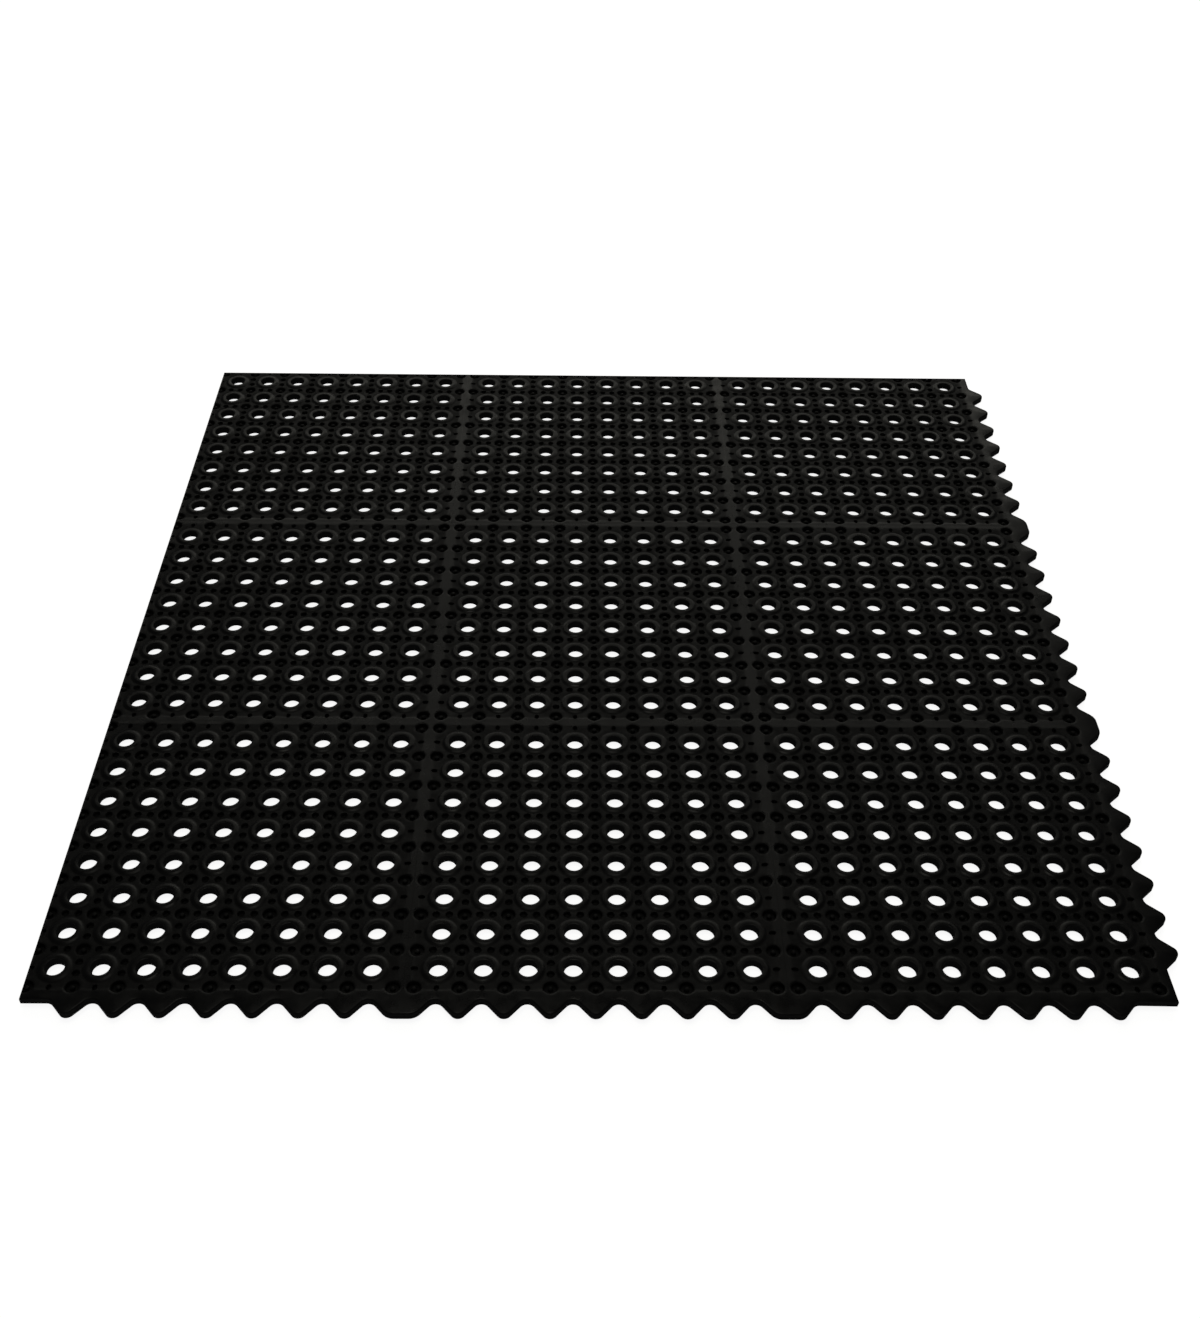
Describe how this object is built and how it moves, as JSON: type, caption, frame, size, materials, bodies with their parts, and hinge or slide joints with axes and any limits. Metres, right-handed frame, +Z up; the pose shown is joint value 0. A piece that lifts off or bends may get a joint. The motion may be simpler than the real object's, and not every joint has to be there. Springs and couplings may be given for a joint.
{
  "type": "perforated interlocking rubber floor mat",
  "caption": "Flat black rubber floor mat on short studs, with rows of round drain holes in square panels, straight back and left edges and interlocking teeth at the front and right.",
  "frame": {"origin": "on the floor, under the middle of the mat's bounding box, teeth included", "axes": "+Z up, +Y towards the straight back edge, +X towards the toothed right edge"},
  "size_m": [0.9248, 0.9248, 0.012],
  "materials": {
    "rubber": "matt black moulded rubber with a faint satin sheen on the crests"
  },
  "bodies": {
    "root": {"panel_front_left": "rubber", "panel_front_middle": "rubber", "panel_front_right": "rubber", "panel_centre_left": "rubber", "panel_centre_middle": "rubber", "panel_centre_right": "rubber", "panel_back_left": "rubber", "panel_back_middle": "rubber", "panel_back_right": "rubber"}
  },
  "joints": []
}
